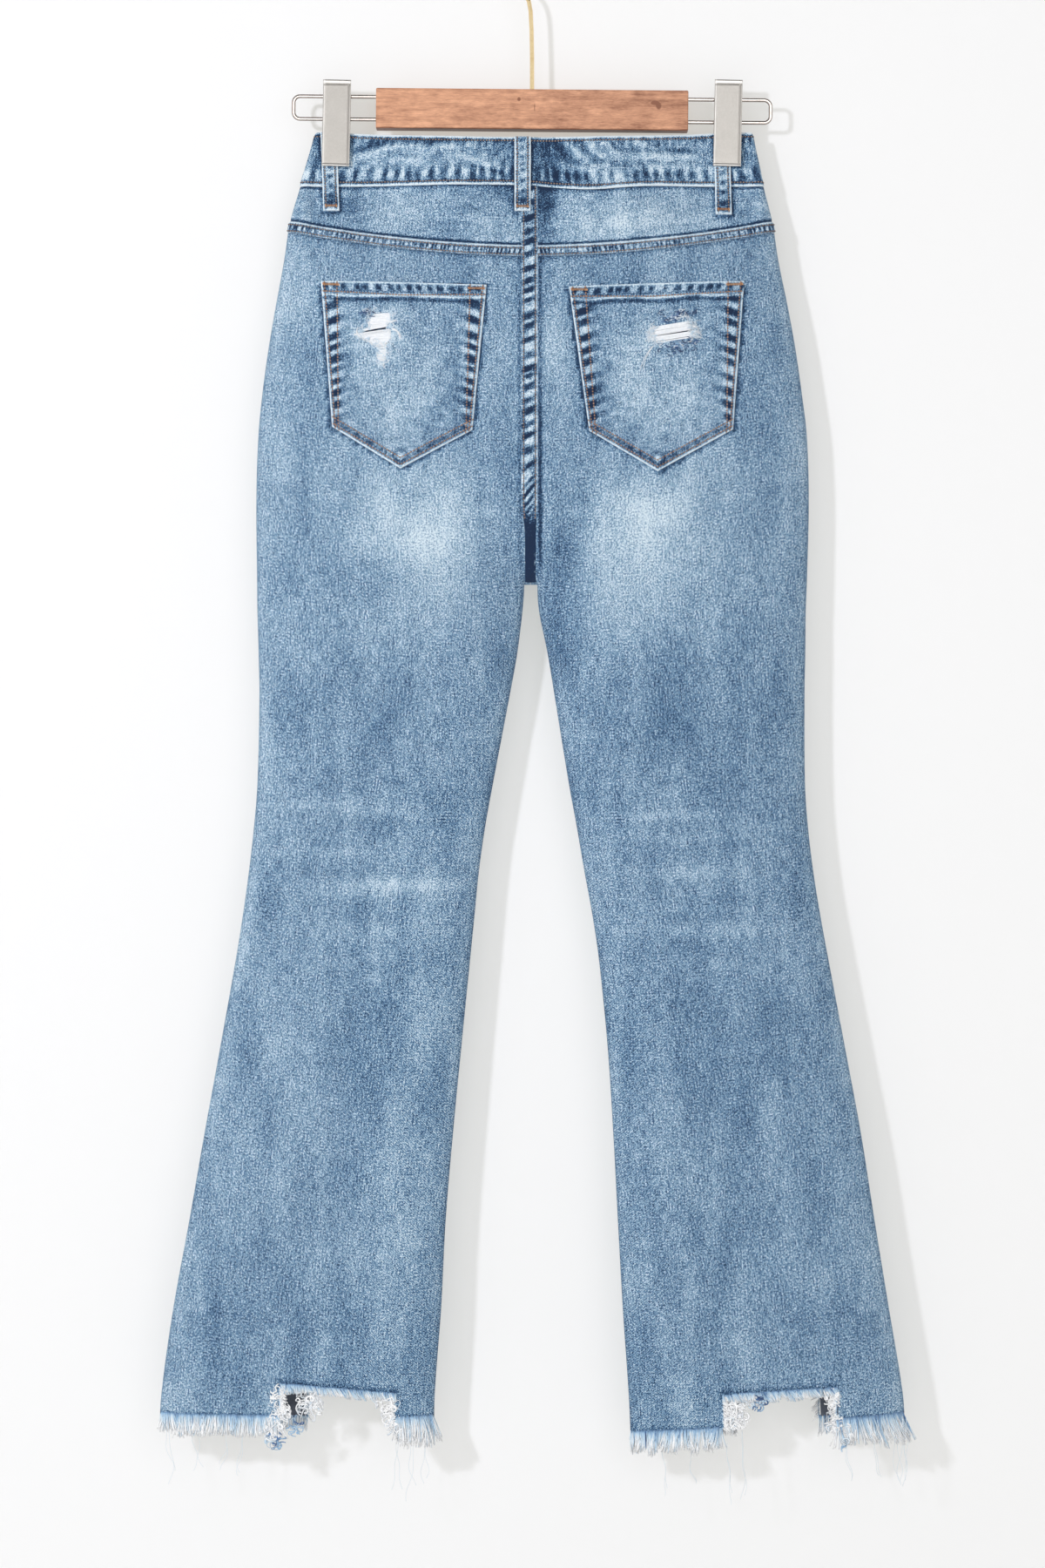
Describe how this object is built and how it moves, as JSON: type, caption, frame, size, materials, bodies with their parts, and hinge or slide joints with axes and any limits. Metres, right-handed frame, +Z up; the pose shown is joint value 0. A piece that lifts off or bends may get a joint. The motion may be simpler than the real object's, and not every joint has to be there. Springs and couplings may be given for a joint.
{
  "type": "flared jeans on a clip hanger",
  "caption": "Flared denim jeans with yoke, patch pockets, belt loops and raw stepped hems, hanging by the waistband from a wooden bar hanger with sliding metal clips.",
  "frame": {"origin": "the point inside the top of the hanger's hook that bears on a rail", "axes": "+Z up, -Y the back (seat) side of the jeans, +X the wearer's right"},
  "size_m": [0.5986, 0.0442, 1.2461],
  "materials": {
    "denim": "light-wash slub stretch denim",
    "thread_ends": "frayed yarn ends",
    "zip_tape": "woven tape",
    "aged_brass": "aged, satin",
    "brushed_nickel": "brushed nickel plate",
    "gold_wire": "gold-coloured plated wire",
    "reddish_wood": "fine-grained, satin varnish"
  },
  "bodies": {
    "root": {"back_panel_left": "denim", "back_panel_right": "denim", "front_panel_left": "denim", "front_panel_right": "denim", "yoke_left": "denim", "yoke_right": "denim", "waistband": "denim", "back_pocket_left": "denim", "back_pocket_right": "denim", "front_pocket_facing_left": "denim", "front_pocket_facing_right": "denim", "belt_loop_back_centre": "denim", "belt_loop_back_left": "denim", "belt_loop_back_right": "denim", "belt_loop_front_left": "denim", "belt_loop_front_right": "denim", "fly_shield": "denim", "zip_tape": "zip_tape", "zip_slider": "aged_brass", "button": "aged_brass", "hem_fringe_back_left": "thread_ends", "hem_fringe_back_right": "thread_ends", "hem_fringe_front_left": "thread_ends", "hem_fringe_front_right": "thread_ends", "wooden_bar": "reddish_wood", "wire_loop_left": "brushed_nickel", "wire_loop_right": "brushed_nickel", "clip_left": "brushed_nickel", "clip_right": "brushed_nickel", "hanger_hook": "gold_wire"}
  },
  "joints": []
}
